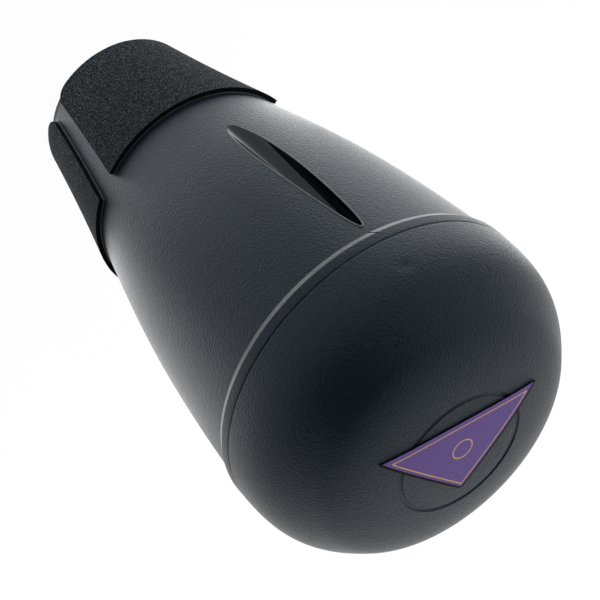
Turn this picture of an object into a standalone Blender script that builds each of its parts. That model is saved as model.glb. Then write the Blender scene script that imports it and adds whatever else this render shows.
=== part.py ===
"""Horn practice mute: a moulded cone and end cap with foam pads, standing on its neck.

The frame has +Z along the mute's axis from the neck to the dome, and the origin at the
centre of the flat neck rim that the mute stands on. The side port points along -Y.
"""
import math

import bmesh
import bpy

MM = 0.001

# Turned shapes: steps round the axis, and how many points each curve has
ROUND_STEPS = 72
OUTSIDE_CONE_COUNT = 13
INSIDE_CONE_COUNT = 8
OUTSIDE_DOME_COUNT = 9
OUTSIDE_CROWN_COUNT = 7
INSIDE_DOME_COUNT = 6
INSIDE_CROWN_COUNT = 5
FINE_COUNT = 60

# Cone: its outer line is one cubic curve from the neck rim to the flange
CONE_LENGTH = 148.5 * MM
NECK_RADIUS = 25.8 * MM
NECK_SLOPE = 0.164
NECK_HANDLE = 71.0 * MM
MOUTH_RADIUS = 50.25 * MM
MOUTH_SLOPE = 0.066
MOUTH_HANDLE = 69.0 * MM
WALL = 2.4 * MM
RIM_CHAMFER = 0.4 * MM

# Flange at the wide end of the cone: a small step out from the wall, then a bevel
FLANGE_OVERHANG = 1.25 * MM
FLANGE_STEP = 0.45 * MM
FLANGE_BEVEL_RISE = 1.95 * MM
FLANGE_HEIGHT = 4.3 * MM
SEAM_CHAMFER = 0.45 * MM

# Witness notch across the flange's bevel, in line with the port
NOTCH_WIDTH = 0.5 * MM
NOTCH_DEPTH = 0.5 * MM
NOTCH_LENGTH = 3.2 * MM
NOTCH_TILT = math.radians(35)

# Cement groove in the flange's top face, between two lands, and the gaps round the bead in it
OUTER_LAND = 0.7 * MM
INNER_LAND = 0.7 * MM
GROOVE_WIDTH = 1.2 * MM
GROOVE_DEPTH = 1.0 * MM
BEAD_SIDE_GAP = 0.3 * MM
BEAD_FLOOR_GAP = 0.2 * MM
BEAD_TOP_GAP = 0.1 * MM

# Joint: the cap's spigot stands in a rebate inside the flange
SPIGOT_CLEARANCE = 0.3 * MM
SPIGOT_WALL = 1.8 * MM
SPIGOT_LENGTH = 7.6 * MM
SPIGOT_FLOOR_GAP = 0.7 * MM
SPIGOT_FADE = 4.0 * MM

# End cap: two cubic curves that meet at the shoulder, the first one rising from the flange's edge
CAP_GAP = 0.3 * MM
CAP_HEIGHT = 35.05 * MM
CAP_FOOT_HANDLE = 12.35 * MM
SHOULDER_INSET = 10.0 * MM
SHOULDER_HEIGHT = 26.85 * MM
SHOULDER_TILT = math.radians(42.3)
SHOULDER_HANDLE_DOWN = 12.0 * MM
SHOULDER_HANDLE_UP = 10.5 * MM
CROWN_HANDLE = 18.0 * MM
CAP_WALL = 2.4 * MM

# Ring groove round the crown
RING_RADIUS = 19.7 * MM
RING_WIDTH = 1.5 * MM
RING_DEPTH = 0.5 * MM
RING_SIDE_RUN = 0.2 * MM

# Port: a round bore that runs almost along the wall and leaves a leaf-shaped opening. Its centre
# line starts outside the cone's outer line and ends inside it, measured from the flange. A tube
# moulded to the inside of the wall goes round the bore and stops short of the bore's end, so that
# the bore meets the chamber there.
PORT_RADIUS = 3.8 * MM
PORT_LOW_DROP = 70.0 * MM
PORT_LOW_LIFT = 3.2 * MM
PORT_HIGH_DROP = 6.0 * MM
PORT_HIGH_SINK = 3.74 * MM
PORT_END_DROP = 5.4 * MM
PORT_LEAD = 8.0 * MM
PORT_TUBE_WALL = 1.4 * MM
PORT_TUBE_END_DROP = 12.0 * MM
PORT_AZIMUTH = math.radians(-90)
PORT_SIDES = 32

# Foam pads and the films under them
PAD_PLACES = (("front", math.radians(0)), ("left", math.radians(-120)), ("right", math.radians(120)))
PAD_SPREAD = math.radians(105.8)
PAD_START = 1.7 * MM
PAD_END = 53.5 * MM
PAD_FOAM = 1.4 * MM
PAD_CORNER = 4.8 * MM
PAD_COLUMNS = 16
PAD_CORNER_ROWS = 3
PAD_ROWS = 4
FILM = 0.2 * MM
FILM_GAP = 0.2 * MM
FILM_MARGIN = 0.4 * MM

# Badge: a three-cornered plate on the crown, with its wide side towards the port
BADGE_PLATE = 0.4 * MM
BADGE_BASE_Y = 12.2 * MM
BADGE_BASE_BOW = 1.6 * MM
BADGE_TIP_Y = 13.4 * MM
BADGE_HALF_WIDTH = 25.6 * MM
BADGE_SIDE_BOW = 1.4 * MM
BADGE_TIP_HALF_WIDTH = 0.9 * MM
BADGE_COLUMNS = 16
BADGE_ROWS = 10
BADGE_FILM_INSET = 1.0 * MM

SHELL_BLACK = (0.018, 0.020, 0.023, 1.0)
FOAM_BLACK = (0.026, 0.031, 0.034, 1.0)
FILM_GREY = (0.45, 0.47, 0.48, 1.0)
BADGE_PURPLE = (0.075, 0.040, 0.230, 1.0)
CEMENT_AMBER = (0.30, 0.22, 0.10, 1.0)


def clear_scene():
    for thing in list(bpy.data.objects):
        bpy.data.objects.remove(thing, do_unlink=True)


def new_collection(name):
    collection = bpy.data.collections.new(name)
    bpy.context.scene.collection.children.link(collection)
    return collection


def make_material(name, colour, roughness, metallic=0.0):
    material = bpy.data.materials.new(name)
    material.use_nodes = True
    shader = material.node_tree.nodes["Principled BSDF"]
    shader.inputs["Base Color"].default_value = colour
    shader.inputs["Roughness"].default_value = roughness
    shader.inputs["Metallic"].default_value = metallic
    return material


def mesh_object(name, mesh, collection, material=None):
    thing = bpy.data.objects.new(name, mesh)
    collection.objects.link(thing)
    if material is not None:
        mesh.materials.append(material)
    return thing


def cubic(start, start_handle, end_handle, end, count):
    """Points along one cubic curve, both ends included, each as (radius, height)."""
    points = []
    for index in range(count):
        t = index / (count - 1)
        weights = ((1 - t) ** 3, 3 * (1 - t) ** 2 * t, 3 * (1 - t) * t ** 2, t ** 3)
        knots = (start, start_handle, end_handle, end)
        points.append(tuple(sum(w * k[axis] for w, k in zip(weights, knots)) for axis in (0, 1)))
    return points


def offset(points, distance):
    """The line moved to its right by distance, going from the first point to the last."""
    moved = []
    for index, (radius, height) in enumerate(points):
        before = points[max(index - 1, 0)]
        after = points[min(index + 1, len(points) - 1)]
        run = (after[0] - before[0], after[1] - before[1])
        length = math.hypot(*run)
        moved.append((radius + distance * run[1] / length, height - distance * run[0] / length))
    return moved


def height_to_radius(points, height):
    """The radius of a line at one height; the line runs upwards."""
    for low, high in zip(points, points[1:]):
        if low[1] <= height <= high[1]:
            share = (height - low[1]) / (high[1] - low[1])
            return low[0] + share * (high[0] - low[0])
    raise ValueError("height outside the line")


def cone_line(count):
    """The cone's outer line from the neck rim up to the flange."""
    neck = (NECK_RADIUS, 0.0)
    mouth = (MOUTH_RADIUS, CONE_LENGTH)
    neck_handle = (NECK_RADIUS + NECK_HANDLE * NECK_SLOPE, NECK_HANDLE)
    mouth_handle = (MOUTH_RADIUS - MOUTH_HANDLE * MOUTH_SLOPE, CONE_LENGTH - MOUTH_HANDLE)
    return cubic(neck, neck_handle, mouth_handle, mouth, count)


def cone_radius(height):
    return height_to_radius(cone_line(FINE_COUNT), height)


def flange_radius():
    return MOUTH_RADIUS + FLANGE_OVERHANG


def groove_sides():
    outer = flange_radius() - OUTER_LAND
    return outer - GROOVE_WIDTH, outer


def rebate_radius():
    return groove_sides()[0] - INNER_LAND


def spigot_radius():
    return rebate_radius() - SPIGOT_CLEARANCE


def shoulder_radius():
    return flange_radius() - SHOULDER_INSET


def flange_top():
    return CONE_LENGTH + FLANGE_HEIGHT


def cap_foot():
    return flange_top() + CAP_GAP


def cap_line(lower_count, crown_count):
    """The cap's outer line from its foot, over the shoulder, to the middle of the crown."""
    foot = (flange_radius(), cap_foot())
    foot_handle = (flange_radius(), cap_foot() + CAP_FOOT_HANDLE)
    shoulder = (shoulder_radius(), cap_foot() + SHOULDER_HEIGHT)
    lean = (-math.sin(SHOULDER_TILT), math.cos(SHOULDER_TILT))
    below = tuple(place - SHOULDER_HANDLE_DOWN * way for place, way in zip(shoulder, lean))
    above = tuple(place + SHOULDER_HANDLE_UP * way for place, way in zip(shoulder, lean))
    top = (0.0, cap_foot() + CAP_HEIGHT)
    top_handle = (CROWN_HANDLE, top[1])
    lower = cubic(foot, foot_handle, below, shoulder, lower_count)
    crown = cubic(shoulder, above, top_handle, top, crown_count)
    return lower + crown[1:]


def turned(name, profile, closed, collection, material):
    """A solid of revolution about Z from (radius, height) points that go down the outside."""
    mesh = bpy.data.meshes.new(name)
    count = len(profile)
    edges = [(index, index + 1) for index in range(count - 1)]
    if closed:
        edges.append((count - 1, 0))
    mesh.from_pydata([(radius, 0.0, height) for radius, height in profile], edges, [])
    thing = mesh_object(name, mesh, collection, material)
    screw = thing.modifiers.new("Turn", "SCREW")
    screw.axis = "Z"
    screw.angle = math.tau
    screw.steps = ROUND_STEPS
    screw.render_steps = ROUND_STEPS
    screw.use_smooth_shade = True
    screw.use_merge_vertices = True
    screw.merge_threshold = 0.00001
    return thing


def combine(target, other, name, operation):
    """A Boolean of target with other, which is a helper shape and not shown."""
    other.hide_render = True
    other.display_type = "WIRE"
    modifier = target.modifiers.new(name, "BOOLEAN")
    modifier.operation = operation
    modifier.object = other


def into_collection(thing, name, collection):
    thing.name = name
    for owner in list(thing.users_collection):
        owner.objects.unlink(thing)
    collection.objects.link(thing)


def around_axis(radius, height):
    """The point at the port's azimuth with this radius and height."""
    return (radius * math.cos(PORT_AZIMUTH), radius * math.sin(PORT_AZIMUTH), height)


def port_bar(name, radius, end_z, collection):
    """A round bar of this radius along the port's centre line, which ends at height end_z."""
    low_z = CONE_LENGTH - PORT_LOW_DROP
    high_z = CONE_LENGTH - PORT_HIGH_DROP
    low_centre = cone_radius(low_z) + PORT_LOW_LIFT
    high_centre = cone_radius(high_z) - PORT_HIGH_SINK
    lean = math.atan2(high_centre - low_centre, high_z - low_z)
    start_z = low_z - PORT_LEAD
    length = (end_z - start_z) / math.cos(lean)
    middle_z = (start_z + end_z) / 2
    middle_radius = low_centre + (middle_z - low_z) * math.tan(lean)
    bpy.ops.mesh.primitive_cylinder_add(vertices=PORT_SIDES, radius=radius, depth=length)
    bar = bpy.context.object
    into_collection(bar, name, collection)
    bar.rotation_euler = (0.0, lean, PORT_AZIMUTH)
    bar.location = around_axis(middle_radius, middle_z)
    return bar


def wall_core(collection):
    """A solid that fills the cone out to the middle of its wall, from one end of the port to the other."""
    line = offset(cone_line(OUTSIDE_CONE_COUNT), -WALL / 2)
    low_z = CONE_LENGTH - PORT_LOW_DROP - PORT_LEAD
    high_z = CONE_LENGTH - PORT_END_DROP
    side = [point for point in line if low_z < point[1] < high_z]
    profile = [(0.0, high_z), (height_to_radius(line, high_z), high_z)]
    profile += list(reversed(side))
    profile += [(height_to_radius(line, low_z), low_z), (0.0, low_z)]
    return turned("wall_core", profile, False, collection, None)


def port_tube(collection):
    """The tube round the port's bore, as far out as the middle of the cone's wall."""
    end_z = CONE_LENGTH - PORT_TUBE_END_DROP
    tube = port_bar("port_tube", PORT_RADIUS + PORT_TUBE_WALL, end_z, collection)
    combine(tube, wall_core(collection), "Inside the wall", "INTERSECT")
    return tube


def port_cutter(collection):
    return port_bar("port_cutter", PORT_RADIUS, CONE_LENGTH - PORT_END_DROP, collection)


def notch_cutter(collection):
    bevel_middle = flange_radius() - FLANGE_OVERHANG / 2
    reach = FLANGE_OVERHANG + NOTCH_DEPTH
    bpy.ops.mesh.primitive_cube_add(size=1.0)
    cutter = bpy.context.object
    into_collection(cutter, "notch_cutter", collection)
    cutter.scale = (reach, NOTCH_WIDTH, NOTCH_LENGTH)
    cutter.rotation_mode = "ZYX"
    cutter.rotation_euler = (NOTCH_TILT, 0.0, PORT_AZIMUTH)
    cutter.location = around_axis(bevel_middle - NOTCH_DEPTH + reach / 2, CONE_LENGTH)
    return cutter


def body_shell(collection, cutters, material):
    outer = cone_line(FINE_COUNT)
    inner = offset(outer, -WALL)
    top = flange_top()
    flange = flange_radius()
    groove_in, groove_out = groove_sides()
    rebate = rebate_radius()
    rebate_floor = cap_foot() - SPIGOT_LENGTH - SPIGOT_FLOOR_GAP
    bevel_foot = CONE_LENGTH - FLANGE_BEVEL_RISE / 2
    outer_wall = [point for point in cone_line(OUTSIDE_CONE_COUNT) if RIM_CHAMFER < point[1] < bevel_foot]
    inner_wall = offset(cone_line(INSIDE_CONE_COUNT), -WALL)
    profile = [
        (groove_out, top),
        (flange - SEAM_CHAMFER, top),
        (flange, top - SEAM_CHAMFER),
        (flange, bevel_foot + FLANGE_BEVEL_RISE),
        (height_to_radius(outer, bevel_foot) + FLANGE_STEP, bevel_foot),
        (height_to_radius(outer, bevel_foot), bevel_foot),
    ]
    profile += list(reversed(outer_wall))
    profile += [
        (height_to_radius(outer, RIM_CHAMFER), RIM_CHAMFER),
        (NECK_RADIUS - RIM_CHAMFER, 0.0),
        (NECK_RADIUS - WALL + RIM_CHAMFER, 0.0),
        (height_to_radius(inner, RIM_CHAMFER * 2), RIM_CHAMFER * 2),
    ]
    profile += [point for point in inner_wall if RIM_CHAMFER * 2 < point[1] < rebate_floor - WALL / 2]
    profile += [
        (height_to_radius(inner, rebate_floor), rebate_floor),
        (rebate, rebate_floor),
        (rebate, top),
        (groove_in, top),
        (groove_in, top - GROOVE_DEPTH),
        (groove_out, top - GROOVE_DEPTH),
    ]
    shell = turned("body_shell", profile, True, collection, material)
    combine(shell, port_tube(cutters), "Port tube", "UNION")
    combine(shell, port_cutter(cutters), "Port", "DIFFERENCE")
    combine(shell, notch_cutter(cutters), "Witness notch", "DIFFERENCE")
    return shell


def crown_line():
    """The crown as (height, radius), from the shoulder to the middle."""
    fine = cap_line(FINE_COUNT, FINE_COUNT)
    return [(height, radius) for radius, height in fine if radius < shoulder_radius()]


def crown_height(crown, radius):
    for (low_z, outer_r), (high_z, inner_r) in zip(crown, crown[1:]):
        if inner_r <= radius <= outer_r:
            share = (radius - inner_r) / (outer_r - inner_r)
            return high_z + share * (low_z - high_z)
    raise ValueError("radius outside the crown")


def grooved_cap_line():
    """The cap's outer line with the ring groove cut into the crown."""
    line = cap_line(OUTSIDE_DOME_COUNT, OUTSIDE_CROWN_COUNT)
    crown = crown_line()
    outer_edge = RING_RADIUS + RING_WIDTH / 2
    inner_edge = RING_RADIUS - RING_WIDTH / 2
    outer_height = crown_height(crown, outer_edge)
    inner_height = crown_height(crown, inner_edge)
    groove = [
        (outer_edge, outer_height),
        (outer_edge - RING_SIDE_RUN, outer_height - RING_DEPTH),
        (inner_edge + RING_SIDE_RUN, inner_height - RING_DEPTH),
        (inner_edge, inner_height),
    ]
    outside = [point for point in line if point[0] > outer_edge + RING_DEPTH]
    inside = [point for point in line if point[0] < inner_edge - RING_DEPTH]
    return outside + groove + inside


def end_cap(collection, material):
    foot = cap_foot()
    edge = flange_radius()
    spigot = spigot_radius()
    spigot_foot = foot - SPIGOT_LENGTH
    inner_line = offset(cap_line(INSIDE_DOME_COUNT, INSIDE_CROWN_COUNT), -CAP_WALL)
    profile = list(reversed(grooved_cap_line()[1:]))
    profile += [
        (edge, foot + SEAM_CHAMFER),
        (edge - SEAM_CHAMFER, foot),
        (spigot, foot),
        (spigot, spigot_foot + RIM_CHAMFER),
        (spigot - RIM_CHAMFER, spigot_foot),
        (spigot - SPIGOT_WALL, spigot_foot),
    ]
    profile += [point for point in inner_line[:-1] if point[1] > foot + SPIGOT_FADE]
    profile.append((0.0, foot + CAP_HEIGHT - CAP_WALL))
    return turned("end_cap", profile, False, collection, material)


def glue_ring(collection, material):
    groove_in, groove_out = groove_sides()
    inside = groove_in + BEAD_SIDE_GAP
    outside = groove_out - BEAD_SIDE_GAP
    floor = flange_top() - GROOVE_DEPTH + BEAD_FLOOR_GAP
    crest = flange_top() - BEAD_TOP_GAP
    profile = [(inside, crest), (outside, crest), (outside, floor), (inside, floor)]
    return turned("joint_glue_ring", profile, True, collection, material)


def pad_rows(start, end, corner):
    """Each row's height, and how far its ends draw in for the rounded corners at the neck end."""
    rows = []
    for index in range(PAD_CORNER_ROWS + 1):
        angle = index / PAD_CORNER_ROWS * math.pi / 2
        rows.append((start + corner * (1 - math.cos(angle)), corner * (1 - math.sin(angle))))
    for index in range(1, PAD_ROWS + 1):
        rows.append((start + corner + (end - start - corner) * index / PAD_ROWS, 0.0))
    return rows


def wrapped_sheet(name, lift, thickness, margin, centre, collection, material):
    """A sheet bent round the neck, lift above the cone, wider than a pad by margin at its sides."""
    line = offset(cone_line(FINE_COUNT), lift)
    rows = pad_rows(PAD_START, PAD_END, PAD_CORNER)
    mesh = bpy.data.meshes.new(name)
    sheet = bmesh.new()
    bmesh.ops.create_grid(sheet, x_segments=PAD_COLUMNS, y_segments=len(rows) - 1, size=1.0)
    for vertex in sheet.verts:
        column = (vertex.co.x + 1) / 2
        height, drawn_in = rows[round((vertex.co.y + 1) / 2 * (len(rows) - 1))]
        radius = height_to_radius(line, height)
        half = PAD_SPREAD / 2 + (margin - drawn_in) / radius
        azimuth = centre + (2 * column - 1) * half
        vertex.co = (radius * math.cos(azimuth), radius * math.sin(azimuth), height)
    bmesh.ops.recalc_face_normals(sheet, faces=sheet.faces)
    first = next(iter(sheet.faces))
    middle = first.calc_center_median()
    if first.normal.x * middle.x + first.normal.y * middle.y < 0:
        bmesh.ops.reverse_faces(sheet, faces=sheet.faces)
    sheet.to_mesh(mesh)
    sheet.free()
    thing = mesh_object(name, mesh, collection, material)
    solidify = thing.modifiers.new("Thickness", "SOLIDIFY")
    solidify.thickness = thickness
    solidify.offset = 1.0
    return thing


def pads(collection, foam, film):
    things = []
    for side, turn in PAD_PLACES:
        centre = PORT_AZIMUTH + turn
        things.append(
            wrapped_sheet(side + "_pad_adhesive", FILM_GAP, FILM, FILM_MARGIN, centre, collection, film)
        )
        foam_lift = FILM_GAP * 2 + FILM
        things.append(wrapped_sheet(side + "_pad", foam_lift, PAD_FOAM, 0.0, centre, collection, foam))
    return things


def crown_sheet(name, lift, thickness, inset, collection, material):
    """A three-cornered sheet laid on the crown, lift above it, drawn in from its edges by inset."""
    crown = crown_line()
    mesh = bpy.data.meshes.new(name)
    sheet = bmesh.new()
    bmesh.ops.create_grid(sheet, x_segments=BADGE_COLUMNS, y_segments=BADGE_ROWS, size=1.0)
    for vertex in sheet.verts:
        across = vertex.co.x
        along = (vertex.co.y + 1) / 2
        base = BADGE_BASE_Y - inset + BADGE_BASE_BOW * (1 - across ** 2) * (1 - along)
        tip = -BADGE_TIP_Y + inset * 2
        forward = base + (tip - base) * along
        half = BADGE_HALF_WIDTH - inset * 2 + (BADGE_TIP_HALF_WIDTH - BADGE_HALF_WIDTH) * along
        half += BADGE_SIDE_BOW * 4 * along * (1 - along)
        sideways = across * max(half, BADGE_TIP_HALF_WIDTH)
        height = crown_height(crown, math.hypot(forward, sideways)) + lift
        turn = PORT_AZIMUTH
        vertex.co = (
            forward * math.cos(turn) - sideways * math.sin(turn),
            forward * math.sin(turn) + sideways * math.cos(turn),
            height,
        )
    bmesh.ops.recalc_face_normals(sheet, faces=sheet.faces)
    first = next(iter(sheet.faces))
    if first.normal.z < 0:
        bmesh.ops.reverse_faces(sheet, faces=sheet.faces)
    sheet.to_mesh(mesh)
    sheet.free()
    thing = mesh_object(name, mesh, collection, material)
    solidify = thing.modifiers.new("Thickness", "SOLIDIFY")
    solidify.thickness = thickness
    solidify.offset = 1.0
    return thing


def badge(collection, plate_material, film_material):
    film = crown_sheet("badge_adhesive", FILM_GAP, FILM, BADGE_FILM_INSET, collection, film_material)
    plate_lift = FILM_GAP * 2 + FILM
    plate = crown_sheet("badge_plate", plate_lift, BADGE_PLATE, 0.0, collection, plate_material)
    return film, plate


def build():
    clear_scene()
    parts = new_collection("horn_practice_mute")
    cutters = new_collection("cutters")
    shell_black = make_material("satin black plastic", SHELL_BLACK, 0.38)
    foam_black = make_material("charcoal foam", FOAM_BLACK, 0.95)
    film_grey = make_material("adhesive film", FILM_GREY, 0.5)
    purple = make_material("purple badge", BADGE_PURPLE, 0.4)
    cement = make_material("cement", CEMENT_AMBER, 0.3)
    body_shell(parts, cutters, shell_black)
    end_cap(parts, shell_black)
    glue_ring(parts, cement)
    pads(parts, foam_black, film_grey)
    badge(parts, purple, film_grey)


build()
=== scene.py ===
"""Looks of the horn practice mute: moulded shells, foam pads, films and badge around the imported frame.

Everything is in metres in the frame's own axes: the mute stands on its neck at z = 0 with its
dome up, and its port points along -Y.
"""

import bisect
import math

import bmesh
import bpy
import numpy as np
from mathutils import Matrix, Vector, noise


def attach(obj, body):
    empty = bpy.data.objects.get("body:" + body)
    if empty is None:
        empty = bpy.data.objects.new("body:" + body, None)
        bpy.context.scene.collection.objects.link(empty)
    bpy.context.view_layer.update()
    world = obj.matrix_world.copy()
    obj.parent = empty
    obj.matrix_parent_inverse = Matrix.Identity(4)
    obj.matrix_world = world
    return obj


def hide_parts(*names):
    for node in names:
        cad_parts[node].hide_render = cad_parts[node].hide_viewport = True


MM = 0.001
PORT_AZIMUTH = math.radians(-90)

# Camera, from the perspective of the photograph
PHOTO_PIXELS = 600
FOCAL_PIXELS = 1620
NEAREST_SEEN = 0.01
SENSOR_WIDTH = 36.0
CAMERA_PLACE = (0.18021, -0.33191, 0.40882)
CAMERA_TURN = (-42.157, -33.562, 176.835)

# Studio
FLOOR_RADIUS = 2.5
FLOOR_CORNERS = 96
FLOOR_GREY = 0.86
FLOOR_WHITE = 1.02
FLOOR_WHITE_SHARE = 0.95
MATT = 0.9
WORLD_STRENGTH = 1.0
OBJECT_MIDDLE = (0.0, 0.0, 0.095)
CARD_WAY = (0.54, -0.34, 0.77)
CARD_AWAY = 0.9
CARD_RADIUS = 0.80
CARD_CORNERS = 64
CARD_GREY = 0.02
PANELS = (
    ("light_panel_left", (-0.20, -0.10, 0.003), (0.28, 0.5), 0.5),
    ("light_panel_back", (0.07, 0.10, 0.003), (0.24, 0.14), 0.08),
    ("light_panel_under", (-0.015, 0.0, 0.002), (0.14, 0.14), 0.055),
)
PANEL_AIM_HEIGHT = 1.0

# Resolution of the turned shells
TURN_STEPS = 240
CONE_ROWS = 84
INNER_ROWS = 40
DOME_ROWS = 34
CROWN_ROWS = 40
INNER_DOME_ROWS = 30
INNER_CROWN_ROWS = 24
ARC_POINTS = 5
LINE_POINTS = 400
DOME_LINE_POINTS = 100
SAME_POINT = 0.000001
POLE_CLEAR = 0.5 * MM

# Edges where the faces turn by more than this many degrees stay sharp
SHELL_SHARP = 30
SHEET_SHARP = 40

# Cone
CONE_LENGTH = 148.5 * MM
NECK_RADIUS = 25.8 * MM
NECK_SLOPE = 0.164
NECK_HANDLE = 71.0 * MM
MOUTH_RADIUS = 50.25 * MM
MOUTH_SLOPE = 0.066
MOUTH_HANDLE = 69.0 * MM
WALL = 2.4 * MM
RIM_ROUND = 0.5 * MM
RIM_CLEAR = 1 * MM
FIRST_ROW = 0.4

# Flange, seam and joint
FLANGE_RADIUS = 51.5 * MM
FLANGE_STEP = 0.45 * MM
BEVEL_RISE = 1.95 * MM
BEVEL_FOOT = CONE_LENGTH - BEVEL_RISE / 2
BEVEL_TOP_ROUND = 0.1 * MM
BEVEL_FOOT_ROUND = 0.08 * MM
BEVEL_FACE_TILT = (-0.6, -0.2)
BEVEL_FACE_OUTWARD = 0.7
FLANGE_TOP = 152.88 * MM
FLANGE_ROUND = 0.5 * MM
SEAM_GAP = 0.12 * MM
CAP_ROUND = 0.15 * MM
CAP_FOOT = FLANGE_TOP + SEAM_GAP
REBATE_RADIUS = 48.9 * MM
REBATE_FLOOR = 144.8 * MM
GROOVE_IN = 49.6 * MM
GROOVE_OUT = 50.8 * MM
GROOVE_DEPTH = 1.0 * MM
SPIGOT_RADIUS = 48.6 * MM
SPIGOT_INSIDE = 46.8 * MM
SPIGOT_FOOT = 145.5 * MM
SPIGOT_CHAMFER = 0.4 * MM

# Cap
CAP_HEIGHT = 35.05 * MM
CAP_FOOT_HANDLE = 12.35 * MM
SHOULDER_RADIUS = 41.5 * MM
SHOULDER_HEIGHT = 26.85 * MM
SHOULDER_TILT = math.radians(42.3)
SHOULDER_HANDLE_DOWN = 12.0 * MM
SHOULDER_HANDLE_UP = 10.5 * MM
CROWN_HANDLE = 18.0 * MM
CAP_WALL = 2.4 * MM
CAP_CORNER_RUN = 2 * MM
CAP_LOW_CLEAR = 0.8 * MM
CAP_INNER_START = 4 * MM
RING_OUTER = 20.4 * MM
RING_INNER = 18.95 * MM
RING_DEPTH = 0.32 * MM
RING_SIDE_RUN = 0.25 * MM
RING_LIP_ROUND = 0.2 * MM
RING_LIP_RUN = 2 * MM
RING_CLEAR = 0.3 * MM
DIMPLE_PLACE = (0.3 * MM, -50.7 * MM, 163.4 * MM)
DIMPLE_REACH = 1.6 * MM
DIMPLE_DEPTH = 0.4 * MM
DIMPLE_FADE = 3

# Port
PORT_RADIUS = 3.8 * MM
PORT_LOW_Z = 78.5 * MM
PORT_LOW_LIFT = 3.2 * MM
PORT_HIGH_Z = 142.5 * MM
PORT_HIGH_SINK = 3.74 * MM
PORT_START_Z = 70.5 * MM
PORT_END_Z = 143.1 * MM
PORT_TUBE_WALL = 1.4 * MM
PORT_TUBE_END_Z = 136.5 * MM
PORT_SIDES = 64
PORT_RINGS = 50
BORE_SLOT = 1
HIGHLIGHT_SLOT = 2
LIP_BEAD = 0.24 * MM
LIP_STATIONS = 220
LIP_SIDES = 16

# The lip's bead, by degrees round the bore from its neck end: it starts fine there and swells
LIP_START = 9
LIP_SWELL = 35
LIP_THIN = 0.3
LIP_SET_IN = 1.15
LIP_SET_OUT = 0.55
LIP_TOWARDS_CAP = 0.2
LIP_SEARCH = (-30 * MM, 90 * MM)
LIP_HALVINGS = 40

# Witness notch
NOTCH_SIZE = (1.75 * MM, 0.5 * MM, 3.2 * MM)
NOTCH_LEAN = math.radians(35)
NOTCH_RADIUS = 51.25 * MM

# Pads and films
PAD_SIDES = (("front", 0), ("left", -1), ("right", 1))
PAD_PITCH = math.radians(120)
PAD_SPREAD = math.radians(105.8)
PAD_START = 1.7 * MM
PAD_END = 53.5 * MM
PAD_CORNER = 4.8 * MM
FILM_LIFT = 0.2 * MM
FILM_THICK = 0.2 * MM
FILM_MARGIN = 0.35 * MM
FOAM_LIFT = 0.6 * MM
FOAM_THICK = 1.4 * MM
FOAM_FACE_SHARE = 0.97
FOAM_CELL = 0.55 * MM
FOAM_GRAIN = 0.05 * MM
FOAM_FINE_STEP = 2.1
FOAM_FINE_SHARE = 0.5
FOAM_SINK = 0.9
PAD_COLUMNS = 150
PAD_CORNER_ROWS = 18
PAD_ROWS = 110
FILM_COLUMNS = 90
FILM_CORNER_ROWS = 8
FILM_ROWS = 30

# Badge
BADGE_THICK = 0.3 * MM
BADGE_TOP_LIFT = 0.48 * MM
BACKING_THICK = 0.15 * MM
BACKING_TOP_LIFT = 0.18 * MM
BACKING_INSET = 0.985
# Width of the black band of painted shadow along the badge's two slanted sides.
BADGE_SHADOW_BAND = 0.75 * MM
BADGE_LINE = (1.5 * MM, 1.85 * MM)
BADGE_RING_PLACE = (0.0, -2.6 * MM, 0.0)
BADGE_RING = (3.0 * MM, 3.4 * MM)
BADGE_BASE_Y = 11.6 * MM
BADGE_BASE_BOW = 1.5 * MM
BADGE_TIP_Y = 13.6 * MM
BADGE_HALF_WIDTH = 25.9 * MM
BADGE_SIDE_BOW = -0.1 * MM
BADGE_TIP_HALF_WIDTH = 0.6 * MM
BADGE_COLUMNS = 90
BADGE_ROWS = 60
BADGE_OUTLINE_STEPS = 40

# Finishes: each is a Principled surface with a fine noise grain, which lifts the surface
# by its bump and runs its colour from low to high between the two ramp positions
PURPLE_FACE = {
    "name": "purple badge face",
    "roughness": 0.45,
    "ior": 1.15,
    "bump": {"scale": 1200.0, "strength": 0.12, "distance": 0.00004},
    "low": (0.140, 0.086, 0.285, 1),
    "high": (0.165, 0.105, 0.325, 1),
}
GOLD_PRINT = (0.72, 0.42, 0.13, 1)
# Black for the band of painted shadow along the badge's slanted sides.
PAINTED_SHADOW_BLACK = (0.002, 0.002, 0.003, 1)
SHELL = {
    "name": "satin moulded plastic",
    "roughness": 0.31,
    "ior": 1.315,
    "tint": (0.68, 0.87, 1.0, 1),
    "bump": {"scale": 1500.0, "strength": 1.0, "distance": 0.00028},
    "low": (0.004, 0.008, 0.014, 1),
    "high": (0.008, 0.014, 0.023, 1),
}
# Smooth plastic inside the port; its colour, darker than the shell's, is painted shade in the bore.
PORT_BORE_PAINTED_SHADE = {
    "name": "smooth port plastic with painted shade",
    "roughness": 0.16,
    "ior": 1.38,
    "tint": (0.80, 0.94, 1.0, 1),
    "bump": {"scale": 700.0, "strength": 0.15, "distance": 0.00005},
    "low": (0.001, 0.002, 0.004, 1),
    "high": (0.002, 0.004, 0.007, 1),
}
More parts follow.
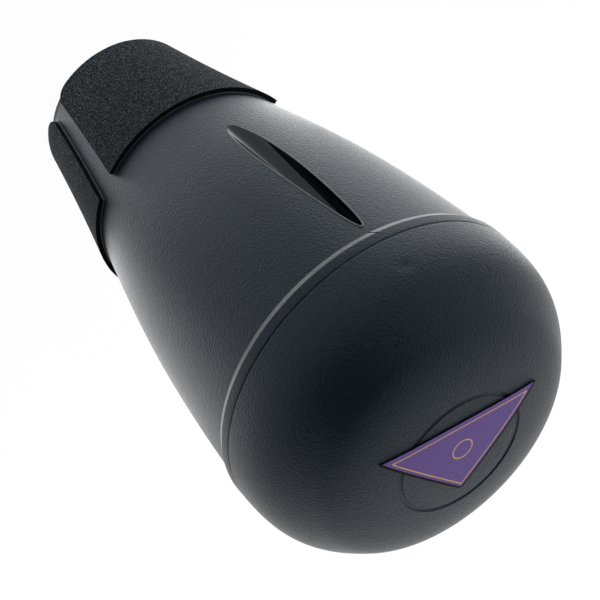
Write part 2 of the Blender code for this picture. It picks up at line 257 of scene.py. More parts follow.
# Paler plastic on the port's lip bead and the flange's bevel: a painted highlight.
LIP_PAINTED_HIGHLIGHT = {
    "name": "lip plastic with painted highlight",
    "roughness": 0.3,
    "ior": 1.45,
    "bump": {"scale": 1500.0, "strength": 0.8, "distance": 0.0002},
    "low": (0.03, 0.040, 0.045, 1),
    "high": (0.10, 0.12, 0.13, 1),
}
FOAM_FACE = {
    "name": "charcoal foam face",
    "roughness": 0.75,
    "ior": 1.12,
    "bump": {"scale": 2900.0, "strength": 1.0, "distance": 0.0004, "detail": 2.0},
    "low": (0.001, 0.0015, 0.002, 1),
    "high": (0.130, 0.158, 0.180, 1),
    "ramp": (0.51, 0.68),
}
FOAM_CUT = {
    "name": "cut foam edge",
    "roughness": 0.95,
    "ior": 1.12,
    "bump": {"scale": 3200.0, "strength": 0.7, "distance": 0.0001},
    "low": (0.001, 0.001, 0.002, 1),
    "high": (0.008, 0.009, 0.010, 1),
}
FILM = {
    "name": "adhesive film",
    "roughness": 0.5,
    "bump": {"scale": 900.0, "strength": 0.2, "distance": 0.00005},
    "low": (0.08, 0.09, 0.096, 1),
    "high": (0.13, 0.142, 0.15, 1),
}
# Black for the plate's cut edge and painted shade in the gap: it also covers the backing sheet under the
# plate.
BADGE_EDGE_AND_GAP_SHADE = {
    "name": "black badge edge and painted gap shade",
    "roughness": 0.5,
    "ior": 1.15,
    "bump": {"scale": 1200.0, "strength": 0.1, "distance": 0.00004},
    "low": (0.003, 0.003, 0.004, 1),
    "high": (0.006, 0.006, 0.008, 1),
}
CEMENT = {
    "name": "cement bead",
    "roughness": 0.3,
    "bump": {"scale": 700.0, "strength": 0.2, "distance": 0.00005},
    "low": (0.24, 0.18, 0.09, 1),
    "high": (0.30, 0.23, 0.12, 1),
}
GRAIN_DETAIL = 3.0
GRAIN_ROUGHNESS = 0.6
GRAIN_RAMP = (0.35, 0.68)


# Shapes

def link(name, mesh):
    thing = bpy.data.objects.new(name, mesh)
    bpy.context.scene.collection.objects.link(thing)
    return thing


def shade(mesh, sharp):
    mesh.shade_smooth()
    mesh.set_sharp_from_angle(angle=math.radians(sharp))


def cubic(start, start_handle, end_handle, end, count):
    """Points (radius, height) along one cubic curve, both ends included."""
    points = []
    for index in range(count):
        t = index / (count - 1)
        weights = ((1 - t) ** 3, 3 * (1 - t) ** 2 * t, 3 * (1 - t) * t ** 2, t ** 3)
        knots = (start, start_handle, end_handle, end)
        points.append(tuple(sum(w * k[axis] for w, k in zip(weights, knots)) for axis in (0, 1)))
    return points


def offset(points, distance):
    """The line moved to its right, going from the first point to the last."""
    moved = []
    for index, (radius, height) in enumerate(points):
        before = points[max(index - 1, 0)]
        after = points[min(index + 1, len(points) - 1)]
        run = (after[0] - before[0], after[1] - before[1])
        length = math.hypot(*run)
        moved.append((radius + distance * run[1] / length, height - distance * run[0] / length))
    return moved


def radius_at(points, height):
    place = bisect.bisect_left(points, height, key=lambda point: point[1])
    if place in (0, len(points)):
        return points[min(place, len(points) - 1)][0]
    low = points[place - 1]
    high = points[place]
    share = (height - low[1]) / (high[1] - low[1])
    return low[0] + share * (high[0] - low[0])


def unit(start, end):
    length = math.hypot(end[0] - start[0], end[1] - start[1])
    return ((end[0] - start[0]) / length, (end[1] - start[1]) / length)


def round_corner(before, corner, after, radius):
    """Points along a small arc that rounds off a corner between two straight runs."""
    to_before = unit(corner, before)
    to_after = unit(corner, after)
    middle = unit((0, 0), (to_before[0] + to_after[0], to_before[1] + to_after[1]))
    half = math.acos(middle[0] * to_before[0] + middle[1] * to_before[1])
    reach = radius / math.sin(half)
    centre = (corner[0] + middle[0] * reach, corner[1] + middle[1] * reach)
    run = radius / math.tan(half)
    leaves = (corner[0] + to_before[0] * run, corner[1] + to_before[1] * run)
    joins = (corner[0] + to_after[0] * run, corner[1] + to_after[1] * run)
    start = math.atan2(leaves[1] - centre[1], leaves[0] - centre[0])
    end = math.atan2(joins[1] - centre[1], joins[0] - centre[0])
    sweep = (end - start + math.pi) % math.tau - math.pi
    points = []
    for index in range(ARC_POINTS):
        angle = start + sweep * index / (ARC_POINTS - 1)
        points.append((centre[0] + radius * math.cos(angle), centre[1] + radius * math.sin(angle)))
    return points


def cone_line(count):
    neck = (NECK_RADIUS, 0.0)
    mouth = (MOUTH_RADIUS, CONE_LENGTH)
    neck_handle = (NECK_RADIUS + NECK_HANDLE * NECK_SLOPE, NECK_HANDLE)
    mouth_handle = (MOUTH_RADIUS - MOUTH_HANDLE * MOUTH_SLOPE, CONE_LENGTH - MOUTH_HANDLE)
    return cubic(neck, neck_handle, mouth_handle, mouth, count)


def cap_line(dome_count, crown_count):
    foot = (FLANGE_RADIUS, CAP_FOOT)
    foot_handle = (FLANGE_RADIUS, CAP_FOOT + CAP_FOOT_HANDLE)
    shoulder = (SHOULDER_RADIUS, CAP_FOOT + SHOULDER_HEIGHT)
    lean = (-math.sin(SHOULDER_TILT), math.cos(SHOULDER_TILT))
    below = tuple(place - SHOULDER_HANDLE_DOWN * way for place, way in zip(shoulder, lean))
    above = tuple(place + SHOULDER_HANDLE_UP * way for place, way in zip(shoulder, lean))
    top = (0.0, CAP_FOOT + CAP_HEIGHT)
    dome = cubic(foot, foot_handle, below, shoulder, dome_count)
    crown = cubic(shoulder, above, (CROWN_HANDLE, top[1]), top, crown_count)
    return dome + crown[1:]


CONE = cone_line(LINE_POINTS)
CAP = cap_line(DOME_LINE_POINTS, LINE_POINTS)
CROWN = [(height, radius) for radius, height in CAP if radius <= SHOULDER_RADIUS]


def crown_height(radius):
    """The cap's outer height at a distance from the axis, on the crown."""
    for (low_z, outer_r), (high_z, inner_r) in zip(CROWN, CROWN[1:]):
        if inner_r <= radius <= outer_r:
            share = (radius - inner_r) / (outer_r - inner_r)
            return high_z + share * (low_z - high_z)
    return CROWN[0][0]


def spun(name, profile, closed):
    """A turned solid from (radius, height) points, spun once round Z."""
    shape = bmesh.new()
    verts = [shape.verts.new((radius, 0.0, height)) for radius, height in profile]
    edges = [shape.edges.new(pair) for pair in zip(verts, verts[1:])]
    if closed:
        edges.append(shape.edges.new((verts[-1], verts[0])))
    bmesh.ops.spin(
        shape, geom=verts + edges, cent=(0, 0, 0), axis=(0, 0, 1),
        angle=math.tau, steps=TURN_STEPS, use_merge=True,
    )
    bmesh.ops.remove_doubles(shape, verts=shape.verts, dist=SAME_POINT)
    bmesh.ops.recalc_face_normals(shape, faces=shape.faces)
    mesh = bpy.data.meshes.new(name)
    shape.to_mesh(mesh)
    shape.free()
    return mesh


def cone_profile():
    """The cone's section, from the flange's outer edge down the outside and back up the inside."""
    inner = offset(CONE, -WALL)
    wall_top = radius_at(CONE, BEVEL_FOOT)
    bevel_top = (FLANGE_RADIUS, BEVEL_FOOT + BEVEL_RISE)
    bevel_foot = (wall_top + FLANGE_STEP, BEVEL_FOOT)
    groove_lip = (GROOVE_OUT, FLANGE_TOP)
    flange_edge = (FLANGE_RADIUS, FLANGE_TOP)
    profile = round_corner(groove_lip, flange_edge, bevel_top, FLANGE_ROUND)
    profile += round_corner(flange_edge, bevel_top, bevel_foot, BEVEL_TOP_ROUND)
    profile += round_corner(bevel_top, bevel_foot, (wall_top, BEVEL_FOOT), BEVEL_FOOT_ROUND)
    profile.append((wall_top, BEVEL_FOOT))
    for index in range(CONE_ROWS):
        height = BEVEL_FOOT - (BEVEL_FOOT - RIM_CLEAR) * (index + FIRST_ROW) / CONE_ROWS
        profile.append((radius_at(CONE, height), height))
    rim_run = 2 * RIM_CLEAR
    outer_foot = (NECK_RADIUS, 0.0)
    inner_foot = (NECK_RADIUS - WALL, 0.0)
    profile += round_corner((radius_at(CONE, rim_run), rim_run), outer_foot, (0.0, 0.0), RIM_ROUND)
    profile += round_corner(outer_foot, inner_foot, (radius_at(inner, rim_run), rim_run), RIM_ROUND)
    for index in range(1, INNER_ROWS):
        height = RIM_CLEAR + (REBATE_FLOOR - rim_run) * index / INNER_ROWS
        profile.append((radius_at(inner, height), height))
    profile += [
        (radius_at(inner, REBATE_FLOOR), REBATE_FLOOR),
        (REBATE_RADIUS, REBATE_FLOOR),
        (REBATE_RADIUS, FLANGE_TOP),
        (GROOVE_IN, FLANGE_TOP),
        (GROOVE_IN, FLANGE_TOP - GROOVE_DEPTH),
        (GROOVE_OUT, FLANGE_TOP - GROOVE_DEPTH),
        (GROOVE_OUT, FLANGE_TOP),
    ]
    return profile


def ring_groove():
    """The ring groove's section, from its inner lip to its outer one."""
    inner_lip = (RING_INNER, crown_height(RING_INNER))
    outer_lip = (RING_OUTER, crown_height(RING_OUTER))
    inner_run = (RING_INNER - RING_LIP_RUN, crown_height(RING_INNER - RING_LIP_RUN))
    outer_run = (RING_OUTER + RING_LIP_RUN, crown_height(RING_OUTER + RING_LIP_RUN))
    floor_in = (RING_INNER + RING_SIDE_RUN, inner_lip[1] - RING_DEPTH)
    floor_out = (RING_OUTER - RING_SIDE_RUN, outer_lip[1] - RING_DEPTH)
    groove = round_corner(inner_run, inner_lip, floor_in, RING_LIP_ROUND)
    groove += [floor_in, floor_out]
    groove += round_corner(floor_out, outer_lip, outer_run, RING_LIP_ROUND)
    return groove


def cap_profile():
    """The cap's section, from the top of the crown down the outside and back up the inside."""
    line = cap_line(DOME_ROWS, CROWN_ROWS)
    low_start = CAP_FOOT + CAP_LOW_CLEAR
    low = [point for point in line if point[1] > low_start and point[0] > RING_OUTER + RING_CLEAR]
    high = [point for point in line if point[0] < RING_INNER - RING_CLEAR]
    profile = list(reversed(high)) + ring_groove() + list(reversed(low))
    edge = (FLANGE_RADIUS, CAP_FOOT)
    spigot_top = (SPIGOT_RADIUS, CAP_FOOT)
    profile += round_corner((FLANGE_RADIUS, CAP_FOOT + CAP_CORNER_RUN), edge, spigot_top, CAP_ROUND)
    profile += [
        spigot_top,
        (SPIGOT_RADIUS, SPIGOT_FOOT + SPIGOT_CHAMFER),
        (SPIGOT_RADIUS - SPIGOT_CHAMFER, SPIGOT_FOOT),
        (SPIGOT_INSIDE, SPIGOT_FOOT),
    ]
    inner = offset(cap_line(INNER_DOME_ROWS, INNER_CROWN_ROWS), -CAP_WALL)
    inner_start = CAP_FOOT + CAP_INNER_START
    profile += [point for point in inner[:-1] if point[1] > inner_start and point[0] > POLE_CLEAR]
    profile.append((0.0, CAP_FOOT + CAP_HEIGHT - CAP_WALL))
    return profile


def combine(thing, *steps):
    """Applies Booleans with helper shapes, each given with its operation, and removes the helpers."""
    for operation, helper in steps:
        for material in thing.data.materials:
            helper.data.materials.append(material)
        modifier = thing.modifiers.new(operation, "BOOLEAN")
        modifier.operation = operation
        modifier.object = helper
    mesh = apply_modifiers(thing)
    for step in steps:
        bpy.data.objects.remove(step[1])
    return mesh


def port_axis():
    """A point on the port's centre line and its direction, in the frame."""
    way = Vector((math.cos(PORT_AZIMUTH), math.sin(PORT_AZIMUTH), 0.0))
    low_radius = radius_at(CONE, PORT_LOW_Z) + PORT_LOW_LIFT
    high_radius = radius_at(CONE, PORT_HIGH_Z) - PORT_HIGH_SINK
    low = way * low_radius + Vector((0, 0, PORT_LOW_Z))
    high = way * high_radius + Vector((0, 0, PORT_HIGH_Z))
    return low, (high - low).normalized()


def port_bar(name, radius, end_z, slot=0):
    """A round bar along the port's centre line, up to the height end_z, in one material slot."""
    low, along = port_axis()
    start = low + along * (PORT_START_Z - PORT_LOW_Z) / along.z
    end = low + along * (end_z - PORT_LOW_Z) / along.z
    shape = bmesh.new()
    bmesh.ops.create_cone(
        shape, cap_ends=True, segments=PORT_SIDES,
        radius1=radius, radius2=radius, depth=(end - start).length,
    )
    sides = [edge for edge in shape.edges if abs(edge.verts[0].co.z - edge.verts[1].co.z) > radius]
    bmesh.ops.subdivide_edges(shape, edges=sides, cuts=PORT_RINGS, use_grid_fill=True)
    turn = Vector((0, 0, 1)).rotation_difference(along).to_matrix().to_4x4()
    bmesh.ops.transform(shape, matrix=Matrix.Translation((start + end) / 2) @ turn, verts=shape.verts)
    for face in shape.faces:
        face.material_index = slot
    mesh = bpy.data.meshes.new(name)
    shape.to_mesh(mesh)
    shape.free()
    return link(name, mesh)


def port_tube():
    """The tube round the port's bore, as far out as the middle of the cone's wall."""
    middle = offset(CONE, -WALL / 2)
    profile = [(0.0, PORT_END_Z)]
    for index in range(CONE_ROWS):
        height = PORT_END_Z + (PORT_START_Z - PORT_END_Z) * index / (CONE_ROWS - 1)
        profile.append((radius_at(middle, height), height))
    profile.append((0.0, PORT_START_Z))
    core = link("wall_core", spun("wall_core", profile, False))
    tube = port_bar("port_tube", PORT_RADIUS + PORT_TUBE_WALL, PORT_TUBE_END_Z)
    combine(tube, ("INTERSECT", core))
    return tube


def notch_cutter():
    """A small slanted blade that leaves the witness notch across the flange's bevel."""
    shape = bmesh.new()
    bmesh.ops.create_cube(shape, size=1.0)
    bmesh.ops.scale(shape, vec=NOTCH_SIZE, verts=shape.verts)
    turn = Matrix.Rotation(PORT_AZIMUTH, 4, "Z") @ Matrix.Rotation(NOTCH_LEAN, 4, "X")
    way = Vector((math.cos(PORT_AZIMUTH), math.sin(PORT_AZIMUTH), 0.0))
    place = way * NOTCH_RADIUS + Vector((0, 0, CONE_LENGTH))
    bmesh.ops.transform(shape, matrix=Matrix.Translation(place) @ turn, verts=shape.verts)
    mesh = bpy.data.meshes.new("notch_cutter")
    shape.to_mesh(mesh)
    shape.free()
    return link("notch_cutter", mesh)


def lip_point(angle):
    """Where the bore's wall at this angle round its own axis leaves the cone's outer face."""
    low, along = port_axis()
    sideways = Vector((-math.sin(PORT_AZIMUTH), math.cos(PORT_AZIMUTH), 0.0))
    out = sideways.cross(along).normalized()
    if out.dot(Vector((math.cos(PORT_AZIMUTH), math.sin(PORT_AZIMUTH), 0.0))) < 0:
        out = -out
    spoke = sideways * math.sin(angle) - out * math.cos(angle)
    near, far = LIP_SEARCH
    for halving in range(LIP_HALVINGS):
        middle = (near + far) / 2
        point = low + along * middle + spoke * PORT_RADIUS
        if math.hypot(point.x, point.y) > radius_at(CONE, point.z):
            near = middle
        else:
            far = middle
    outward = Vector((point.x, point.y, 0.0)).normalized()
    into = (spoke - outward + along * LIP_TOWARDS_CAP).normalized()
    return point, into


def port_lip_bead():
    """A fine round bead that follows the port's lip and fades out at its neck end."""
    stations = []
    for index in range(LIP_STATIONS + 1):
        angle = math.radians(LIP_START + (360 - 2 * LIP_START) * index / LIP_STATIONS)
        turn = math.degrees(min(angle, math.tau - angle))
        swell = min(max((turn - LIP_START) / LIP_SWELL, 0), 1)
        point, into = lip_point(angle)
        centre = point + into * LIP_BEAD * (LIP_SET_IN - LIP_SET_OUT * swell)
        stations.append((centre, into, LIP_BEAD * (LIP_THIN + (1 - LIP_THIN) * swell)))
    shape = bmesh.new()
    rings = []
    for index, (centre, into, radius) in enumerate(stations):
        before = stations[max(index - 1, 0)][0]
        after = stations[min(index + 1, LIP_STATIONS)][0]
        run = (after - before).normalized()
        first = (into - run * into.dot(run)).normalized()
        second = run.cross(first)
        ring = []
        for side in range(LIP_SIDES):
            turn = math.tau * side / LIP_SIDES
            spoke = first * math.cos(turn) + second * math.sin(turn)
            ring.append(shape.verts.new(centre + spoke * radius))
        rings.append(ring)
    edges = []
    for ring in rings:
        edges.append([shape.edges.new((a, b)) for a, b in zip(ring, ring[1:] + ring[:1])])
    for low_edges, high_edges in zip(edges, edges[1:]):
        bmesh.ops.bridge_loops(shape, edges=low_edges + high_edges)
    shape.faces.new(rings[0])
    shape.faces.new(rings[-1])
    bmesh.ops.recalc_face_normals(shape, faces=shape.faces)
    # The bead's faces take the paler plastic: a painted highlight along the lip.
    for face in shape.faces:
        face.material_index = HIGHLIGHT_SLOT
    mesh = bpy.data.meshes.new("port_lip")
    shape.to_mesh(mesh)
    shape.free()
    return link("port_lip", mesh)


def make_cone():
    thing = link("moulded_cone", spun("moulded_cone", cone_profile(), True))
    for look in (SHELL, PORT_BORE_PAINTED_SHADE, LIP_PAINTED_HIGHLIGHT):
        thing.data.materials.append(finish(look))
    # The bore's faces take the darker plastic: painted shade inside the port.
    bore = port_bar("port_bore", PORT_RADIUS, PORT_END_Z, BORE_SLOT)
    mesh = combine(
        thing, ("UNION", port_tube()), ("DIFFERENCE", bore), ("DIFFERENCE", notch_cutter()),
        ("UNION", port_lip_bead()),
    )
    paint_bevel_highlight(mesh)
    shade(mesh, SHELL_SHARP)
    return thing


def paint_bevel_highlight(mesh):
    """Gives the flange's bevel the same paler plastic as the port's lip, a painted highlight."""
    low_tilt, high_tilt = BEVEL_FACE_TILT
    for face in mesh.polygons:
        inside = BEVEL_FOOT < face.center.z < BEVEL_FOOT + BEVEL_RISE
        tilted = low_tilt < face.normal.z < high_tilt
        out = Vector((face.center.x, face.center.y, 0.0)).normalized()
        if inside and tilted and face.normal.dot(out) > BEVEL_FACE_OUTWARD:
            face.material_index = HIGHLIGHT_SLOT


def press_dimple(mesh):
    """The small sink mark on the dome above the port."""
    place = Vector(DIMPLE_PLACE)
    inward = Vector((-place.x, -place.y, 0.0)).normalized()
    for vertex in mesh.vertices:
        gap = (vertex.co - place).length / DIMPLE_REACH
        if gap < DIMPLE_FADE and vertex.co.dot(inward) < -SPIGOT_RADIUS:
            vertex.co += inward * DIMPLE_DEPTH * math.exp(-gap ** 2)


def make_cap():
    mesh = spun("domed_cap", cap_profile(), False)
    press_dimple(mesh)
    shade(mesh, SHELL_SHARP)
    return link("domed_cap", mesh)


def sheet_rows(corner_rows, rows):
    """Each row's height, and how far its ends draw in for the rounded corners at the neck end."""
    result = []
    for index in range(corner_rows + 1):
        angle = index / corner_rows * math.pi / 2
        result.append((PAD_START + PAD_CORNER * (1 - math.cos(angle)), PAD_CORNER * (1 - math.sin(angle))))
    for index in range(1, rows + 1):
        result.append((PAD_START + PAD_CORNER + (PAD_END - PAD_START - PAD_CORNER) * index / rows, 0.0))
    return result


def wrapped_sheet(name, lift, thickness, margin, centre, columns, corner_rows, rows):
    """A sheet bent round the neck, with one finish on its faces and the next one on its cut edge."""
    line = offset(CONE, lift)
    heights = sheet_rows(corner_rows, rows)
    shape = bmesh.new()
    bmesh.ops.create_grid(shape, x_segments=columns, y_segments=len(heights) - 1, size=1.0)
    for vertex in shape.verts:
        column = (vertex.co.x + 1) / 2
        height, drawn_in = heights[round((vertex.co.y + 1) / 2 * (len(heights) - 1))]
        radius = radius_at(line, height)
        half = PAD_SPREAD / 2 + (margin - drawn_in) / radius
        azimuth = centre + (2 * column - 1) * half
        vertex.co = (radius * math.cos(azimuth), radius * math.sin(azimuth), height)
    bmesh.ops.recalc_face_normals(shape, faces=shape.faces)
    shape.faces.ensure_lookup_table()
    middle = shape.faces[0].calc_center_median()
    if shape.faces[0].normal.dot(Vector((middle.x, middle.y, 0))) < 0:
        bmesh.ops.reverse_faces(shape, faces=shape.faces)
    mesh = bpy.data.meshes.new(name)
    shape.to_mesh(mesh)
    shape.free()
    thing = link(name, mesh)
    solidify = thing.modifiers.new("Thickness", "SOLIDIFY")
    solidify.thickness = thickness
    solidify.offset = 1.0
    solidify.material_offset_rim = 1
    solidify.material_offset = 0
    return thing


def apply_modifiers(thing):
    bpy.context.view_layer.update()
    evaluated = thing.evaluated_get(bpy.context.evaluated_depsgraph_get())
    mesh = bpy.data.meshes.new_from_object(evaluated)
    thing.modifiers.clear()
    thing.data = mesh
    return mesh


def grain_foam(mesh):
    """Small cell-sized bumps on a pad's outer face."""
    line = offset(CONE, FOAM_LIFT + FOAM_THICK * FOAM_FACE_SHARE)
    for vertex in mesh.vertices:
        radius = math.hypot(vertex.co.x, vertex.co.y)
        if radius > radius_at(line, vertex.co.z):
            place = vertex.co / FOAM_CELL
            cell = noise.noise(place) + FOAM_FINE_SHARE * noise.noise(place * FOAM_FINE_STEP)
            out = Vector((vertex.co.x, vertex.co.y, 0)) / radius
            vertex.co += out * (cell - FOAM_SINK) * FOAM_GRAIN


def make_pad(side, place):
    centre = PORT_AZIMUTH + place * PAD_PITCH
    pad = wrapped_sheet(
        side + "_foam_pad", FOAM_LIFT, FOAM_THICK, 0.0, centre, PAD_COLUMNS, PAD_CORNER_ROWS, PAD_ROWS,
    )
    pad.data.materials.append(finish(FOAM_FACE))
    pad.data.materials.append(finish(FOAM_CUT))
    mesh = apply_modifiers(pad)
    grain_foam(mesh)
    shade(mesh, SHEET_SHARP)
    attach(pad, "root")
    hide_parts(side + "_pad")


def make_film(side, place):
    centre = PORT_AZIMUTH + place * PAD_PITCH
    film = wrapped_sheet(
        side + "_pad_film", FILM_LIFT, FILM_THICK, FILM_MARGIN, centre,
        FILM_COLUMNS, FILM_CORNER_ROWS, FILM_ROWS,
    )
    film.data.materials.append(finish(FILM))
    film.data.materials.append(finish(FILM))
    shade(apply_modifiers(film), SHEET_SHARP)
    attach(film, "root")
    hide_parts(side + "_pad_adhesive")


def badge_outline_point(across, along):
    """A point of the badge's plan: forward towards the port, and sideways."""
    base = BADGE_BASE_Y + BADGE_BASE_BOW * (1 - across ** 2) * (1 - along)
    forward = base + (-BADGE_TIP_Y - base) * along
    half = BADGE_HALF_WIDTH + (BADGE_TIP_HALF_WIDTH - BADGE_HALF_WIDTH) * along
    half += BADGE_SIDE_BOW * 4 * along * (1 - along)
    return forward, across * half


def badge_outline():
    """The badge's base line, and the line of its other two sides, as (forward, sideways) points."""
    steps = BADGE_OUTLINE_STEPS
    base = [badge_outline_point(2 * index / steps - 1, 0) for index in range(steps + 1)]
    sides = [badge_outline_point(1, index / steps) for index in range(steps + 1)]
    sides += [badge_outline_point(-1, 1 - index / steps) for index in range(steps + 1)]
    return base, sides


def distance_to_line(line, point):
    """How far a point lies from a line of points in the badge's plan."""
    points = np.array(line)
    starts = points[:-1]
    runs = points[1:] - starts
    lengths = (runs ** 2).sum(axis=1)
    shares = ((np.array(point) - starts) * runs).sum(axis=1) / lengths
    nearest = starts + runs * shares.clip(0, 1)[:, None]
    return float(np.sqrt(((nearest - np.array(point)) ** 2).sum(axis=1)).min())


def badge_sheet(name, top_lift, thickness, scale):
    """A sheet of the badge's outline bent over the crown, with each point's distance to the edge."""
    base, sides = badge_outline()
    shape = bmesh.new()
    bmesh.ops.create_grid(shape, x_segments=BADGE_COLUMNS, y_segments=BADGE_ROWS, size=1.0)
    inset = shape.verts.layers.float.new("inset")
    rim = shape.verts.layers.float.new("rim")
    for vertex in shape.verts:
        forward, sideways = badge_outline_point(vertex.co.x, (vertex.co.y + 1) / 2)
        vertex[rim] = distance_to_line(sides, (forward, sideways))
        vertex[inset] = min(vertex[rim], distance_to_line(base, (forward, sideways)))
        forward *= scale
        sideways *= scale
        height = crown_height(math.hypot(forward, sideways)) + top_lift
        turn_x = math.cos(PORT_AZIMUTH)
        turn_y = math.sin(PORT_AZIMUTH)
        vertex.co = (forward * turn_x - sideways * turn_y, forward * turn_y + sideways * turn_x, height)
    bmesh.ops.recalc_face_normals(shape, faces=shape.faces)
    shape.faces.ensure_lookup_table()
    if shape.faces[0].normal.z < 0:
        bmesh.ops.reverse_faces(shape, faces=shape.faces)
    mesh = bpy.data.meshes.new(name)
    shape.to_mesh(mesh)
    shape.free()
    sheet = link(name, mesh)
    solidify = sheet.modifiers.new("Thickness", "SOLIDIFY")
    solidify.thickness = thickness
    solidify.offset = -1.0
    solidify.material_offset_rim = 1
    return sheet


def make_badge():
    badge = badge_sheet("crown_badge", BADGE_TOP_LIFT, BADGE_THICK, 1.0)
    badge.data.materials.append(badge_purple())
    badge.data.materials.append(finish(BADGE_EDGE_AND_GAP_SHADE))
    shade(apply_modifiers(badge), SHEET_SHARP)
    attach(badge, "root")
    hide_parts("badge_plate")
    # A black backing sheet under the plate: painted shade in the gap beneath it.
    backing = badge_sheet("badge_backing", BACKING_TOP_LIFT, BACKING_THICK, BACKING_INSET)
    backing.data.materials.append(finish(BADGE_EDGE_AND_GAP_SHADE))
    backing.data.materials.append(finish(BADGE_EDGE_AND_GAP_SHADE))
    shade(apply_modifiers(backing), SHEET_SHARP)
    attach(backing, "root")
    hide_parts("badge_adhesive")


# Materials

def add(tree, kind, **inputs):
    node = tree.nodes.new(kind)
    for name, value in inputs.items():
        node.inputs[name.replace("_", " ")].default_value = value
    return node


def grained(tree, look):
    """Sets up a finish's shader, bump and speckled colour, and gives its coordinates and its colours."""
    shader = tree.nodes["Principled BSDF"]
    shader.inputs["Roughness"].default_value = look["roughness"]
    if "ior" in look:
        shader.inputs["IOR"].default_value = look["ior"]
    if "tint" in look:
        shader.inputs["Specular Tint"].default_value = look["tint"]
    lift = look["bump"]
    where = tree.nodes.new("ShaderNodeTexCoord")
    grain = add(
        tree, "ShaderNodeTexNoise", Scale=lift["scale"], Detail=lift.get("detail", GRAIN_DETAIL),
        Roughness=GRAIN_ROUGHNESS,
    )
    bump = add(tree, "ShaderNodeBump", Strength=lift["strength"], Distance=lift["distance"])
    tree.links.new(where.outputs["Object"], grain.inputs["Vector"])
    tree.links.new(grain.outputs["Fac"], bump.inputs["Height"])
    tree.links.new(bump.outputs["Normal"], shader.inputs["Normal"])
    ramp = tree.nodes.new("ShaderNodeValToRGB")
    ends = zip(ramp.color_ramp.elements, look.get("ramp", GRAIN_RAMP), (look["low"], look["high"]))
    for element, position, colour in ends:
        element.position = position
        element.color = colour
    tree.links.new(grain.outputs["Fac"], ramp.inputs["Fac"])
    tree.links.new(ramp.outputs["Color"], shader.inputs["Base Color"])
    return where, ramp


def finish(look):
    """The material of a finish, made once and then shared."""
    material = bpy.data.materials.get(look["name"])
    if material is None:
        material = bpy.data.materials.new(look["name"])
        material.use_nodes = True
        grained(material.node_tree, look)
    return material


def band(tree, source, low, high):
    """One where a value lies between low and high, and nought elsewhere."""
    above = tree.nodes.new("ShaderNodeMath")
    above.operation = "GREATER_THAN"
    above.inputs[1].default_value = low
    below = tree.nodes.new("ShaderNodeMath")
    below.operation = "LESS_THAN"
    below.inputs[1].default_value = high
    both = tree.nodes.new("ShaderNodeMath")
    both.operation = "MULTIPLY"
    tree.links.new(source, above.inputs[0])
    tree.links.new(source, below.inputs[0])
    tree.links.new(above.outputs["Value"], both.inputs[0])
    tree.links.new(below.outputs["Value"], both.inputs[1])
    return both.outputs["Value"]


def badge_purple():
    """Purple print with a painted shadow as a black band along its slanted sides, a fine gold line inside
    it and a plain gold ring.
    """
    material = bpy.data.materials.new(PURPLE_FACE["name"])
    material.use_nodes = True
    tree = material.node_tree
    where, ground = grained(tree, PURPLE_FACE)
    inset = tree.nodes.new("ShaderNodeAttribute")
    inset.attribute_name = "inset"
    line = band(tree, inset.outputs["Fac"], *BADGE_LINE)
    flat = tree.nodes.new("ShaderNodeVectorMath")
    flat.operation = "MULTIPLY"
    flat.inputs[1].default_value = (1, 1, 0)
    away = tree.nodes.new("ShaderNodeVectorMath")
    away.operation = "DISTANCE"
    away.inputs[1].default_value = BADGE_RING_PLACE
    tree.links.new(where.outputs["Object"], flat.inputs[0])
    tree.links.new(flat.outputs["Vector"], away.inputs[0])
    ring = band(tree, away.outputs["Value"], *BADGE_RING)
    printed = tree.nodes.new("ShaderNodeMath")
    printed.operation = "MAXIMUM"
    tree.links.new(line, printed.inputs[0])
    tree.links.new(ring, printed.inputs[1])
    ink = tree.nodes.new("ShaderNodeMix")
    ink.data_type = "RGBA"
    ink.inputs["B"].default_value = GOLD_PRINT
    tree.links.new(printed.outputs["Value"], ink.inputs["Factor"])
    tree.links.new(ground.outputs["Color"], ink.inputs["A"])
    # Painted shadow: a black band along the badge's two slanted sides.
    rim = tree.nodes.new("ShaderNodeMath")
    rim.operation = "LESS_THAN"
    rim.inputs[1].default_value = BADGE_SHADOW_BAND
    side = tree.nodes.new("ShaderNodeAttribute")
    side.attribute_name = "rim"
    tree.links.new(side.outputs["Fac"], rim.inputs[0])
    edged = tree.nodes.new("ShaderNodeMix")
    edged.data_type = "RGBA"
    edged.inputs["B"].default_value = PAINTED_SHADOW_BLACK
    tree.links.new(rim.outputs["Value"], edged.inputs["Factor"])
    tree.links.new(ink.outputs["Result"], edged.inputs["A"])
    tree.links.new(edged.outputs["Result"], tree.nodes["Principled BSDF"].inputs["Base Color"])
    return material


# Stage

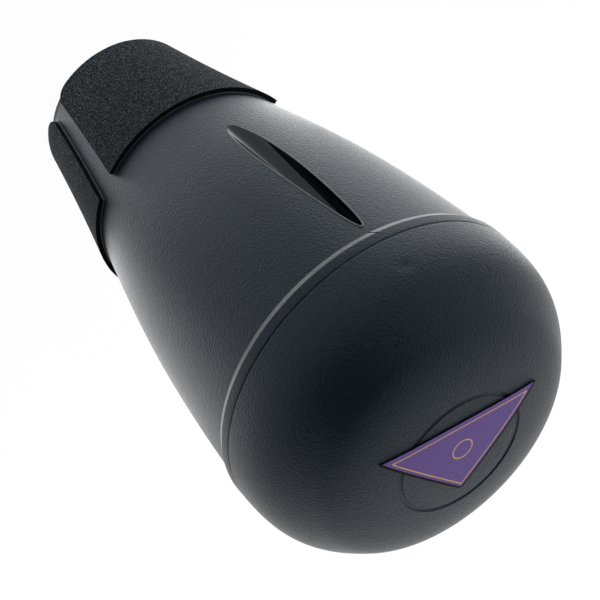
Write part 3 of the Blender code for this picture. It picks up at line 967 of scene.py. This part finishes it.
def make_floor():
    """A white floor: it shows white to camera, glossy and transmission rays, and keeps a faint shadow."""
    shape = bmesh.new()
    bmesh.ops.create_circle(shape, cap_ends=True, segments=FLOOR_CORNERS, radius=FLOOR_RADIUS)
    mesh = bpy.data.meshes.new("studio_floor")
    shape.to_mesh(mesh)
    shape.free()
    floor = link("studio_floor", mesh)
    material = bpy.data.materials.new("pale floor")
    material.use_nodes = True
    tree = material.node_tree
    shader = tree.nodes["Principled BSDF"]
    shader.inputs["Base Color"].default_value = (FLOOR_GREY, FLOOR_GREY, FLOOR_GREY, 1)
    shader.inputs["Roughness"].default_value = MATT
    path = tree.nodes.new("ShaderNodeLightPath")
    seen = path.outputs["Is Camera Ray"]
    for kind in ("Is Glossy Ray", "Is Transmission Ray"):
        either = tree.nodes.new("ShaderNodeMath")
        either.operation = "MAXIMUM"
        tree.links.new(seen, either.inputs[0])
        tree.links.new(path.outputs[kind], either.inputs[1])
        seen = either.outputs["Value"]
    share = tree.nodes.new("ShaderNodeMath")
    share.operation = "MULTIPLY"
    share.inputs[1].default_value = FLOOR_WHITE_SHARE
    tree.links.new(seen, share.inputs[0])
    white = add(tree, "ShaderNodeEmission", Color=(1, 1, 1, 1), Strength=FLOOR_WHITE)
    mix = tree.nodes.new("ShaderNodeMixShader")
    tree.links.new(share.outputs["Value"], mix.inputs["Fac"])
    tree.links.new(shader.outputs["BSDF"], mix.inputs[1])
    tree.links.new(white.outputs["Emission"], mix.inputs[2])
    tree.links.new(mix.outputs["Shader"], tree.nodes["Material Output"].inputs["Surface"])
    mesh.materials.append(material)


def make_world():
    """Plain white soft light from all round."""
    world = bpy.data.worlds.new("studio")
    bpy.context.scene.world = world
    world.use_nodes = True
    studio = world.node_tree.nodes["Background"]
    studio.inputs["Color"].default_value = (1, 1, 1, 1)
    studio.inputs["Strength"].default_value = WORLD_STRENGTH


def make_dark_card():
    """A dark card behind the camera, the unlit side of the studio that the front of the mute mirrors."""
    shape = bmesh.new()
    bmesh.ops.create_circle(shape, cap_ends=True, segments=CARD_CORNERS, radius=CARD_RADIUS)
    way = Vector(CARD_WAY).normalized()
    turn = way.to_track_quat("Z", "Y").to_matrix().to_4x4()
    place = Vector(OBJECT_MIDDLE) + way * CARD_AWAY
    bmesh.ops.transform(shape, matrix=Matrix.Translation(place) @ turn, verts=shape.verts)
    mesh = bpy.data.meshes.new("studio_dark_card")
    shape.to_mesh(mesh)
    shape.free()
    card = link("studio_dark_card", mesh)
    material = bpy.data.materials.new("dark card")
    material.use_nodes = True
    shader = material.node_tree.nodes["Principled BSDF"]
    shader.inputs["Base Color"].default_value = (CARD_GREY, CARD_GREY, CARD_GREY, 1)
    shader.inputs["Roughness"].default_value = MATT
    mesh.materials.append(material)
    card.visible_camera = False


def make_light(name, place, size, watts):
    """A soft panel that lies on the floor and shines straight up, unseen by the camera."""
    lamp = bpy.data.lights.new(name, "AREA")
    lamp.shape = "RECTANGLE"
    lamp.size, lamp.size_y = size
    lamp.energy = watts
    thing = bpy.data.objects.new(name, lamp)
    bpy.context.scene.collection.objects.link(thing)
    thing.location = place
    aim = Vector((place[0], place[1], PANEL_AIM_HEIGHT))
    thing.rotation_euler = (aim - Vector(place)).to_track_quat("-Z", "Y").to_euler()
    thing.visible_camera = False


def make_camera():
    camera = bpy.data.cameras.new("photo_camera")
    camera.sensor_width = SENSOR_WIDTH
    camera.lens = FOCAL_PIXELS / PHOTO_PIXELS * SENSOR_WIDTH
    camera.clip_start = NEAREST_SEEN
    thing = bpy.data.objects.new("photo_camera", camera)
    bpy.context.scene.collection.objects.link(thing)
    thing.location = CAMERA_PLACE
    thing.rotation_euler = [math.radians(turn) for turn in CAMERA_TURN]
    bpy.context.scene.camera = thing


def dress_node(name, material):
    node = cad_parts[name]
    node.data.materials.clear()
    node.data.materials.append(material)


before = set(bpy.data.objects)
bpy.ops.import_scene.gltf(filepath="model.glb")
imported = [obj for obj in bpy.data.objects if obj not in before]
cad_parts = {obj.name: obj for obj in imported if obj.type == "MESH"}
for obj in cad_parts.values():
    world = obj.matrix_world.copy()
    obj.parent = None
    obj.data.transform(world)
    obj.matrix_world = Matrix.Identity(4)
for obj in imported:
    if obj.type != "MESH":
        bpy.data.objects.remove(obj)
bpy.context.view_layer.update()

make_camera()
make_floor()
make_world()
make_dark_card()
for name, place, size, watts in PANELS:
    make_light(name, place, size, watts)

cone = make_cone()
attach(cone, "root")
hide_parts("body_shell")

cap = make_cap()
cap.data.materials.append(finish(SHELL))
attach(cap, "root")
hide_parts("end_cap")

for side, place in PAD_SIDES:
    make_pad(side, place)
    make_film(side, place)

make_badge()
dress_node("joint_glue_ring", finish(CEMENT))

bpy.context.scene.view_settings.view_transform = "Standard"
